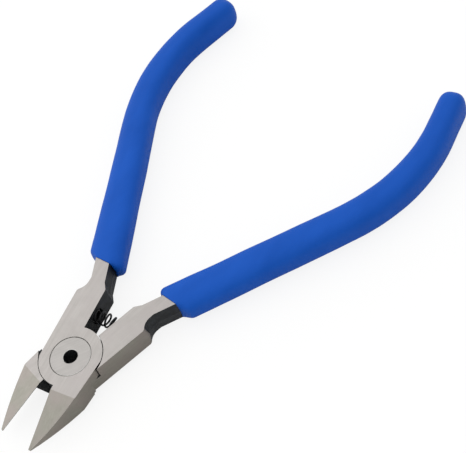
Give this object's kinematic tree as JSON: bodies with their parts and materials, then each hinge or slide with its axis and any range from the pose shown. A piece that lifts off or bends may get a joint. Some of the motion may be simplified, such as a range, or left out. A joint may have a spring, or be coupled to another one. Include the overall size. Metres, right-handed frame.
{
  "type": "flush cutter",
  "caption": "Small spring-opened flush cutting nippers with a riveted half-lap joint, sloping flush-ground jaws and dipped vinyl grips.",
  "frame": {"origin": "on the pivot axis, midway between the ground front and rear faces", "axes": "+Z out of the front face, the side with the flush facets; +Y from the pivot towards the handles, midway between them"},
  "size_m": [0.0782, 0.1151, 0.0078],
  "materials": {
    "ground_steel": "satin ground faces, black oxide on the forged neck sides",
    "rivet_steel": "satin, ground flush with the head",
    "black_spring_wire": "black oxide",
    "blue_vinyl": "satin dipped vinyl"
  },
  "bodies": {
    "front_lever": {"front_half": "ground_steel", "left_grip": "blue_vinyl", "pivot_rivet": "rivet_steel", "return_spring": "black_spring_wire"},
    "rear_lever": {"rear_half": "ground_steel", "right_grip": "blue_vinyl"}
  },
  "joints": [
    {"name": "pivot", "type": "hinge", "parent": "front_lever", "child": "rear_lever", "pos_m": [0, 0, 0], "axis": [0, 0, 1], "range_deg": [-8, 22.4], "stiffness_Nm_per_rad": 0.04, "deforming": ["return_spring"]}
  ]
}
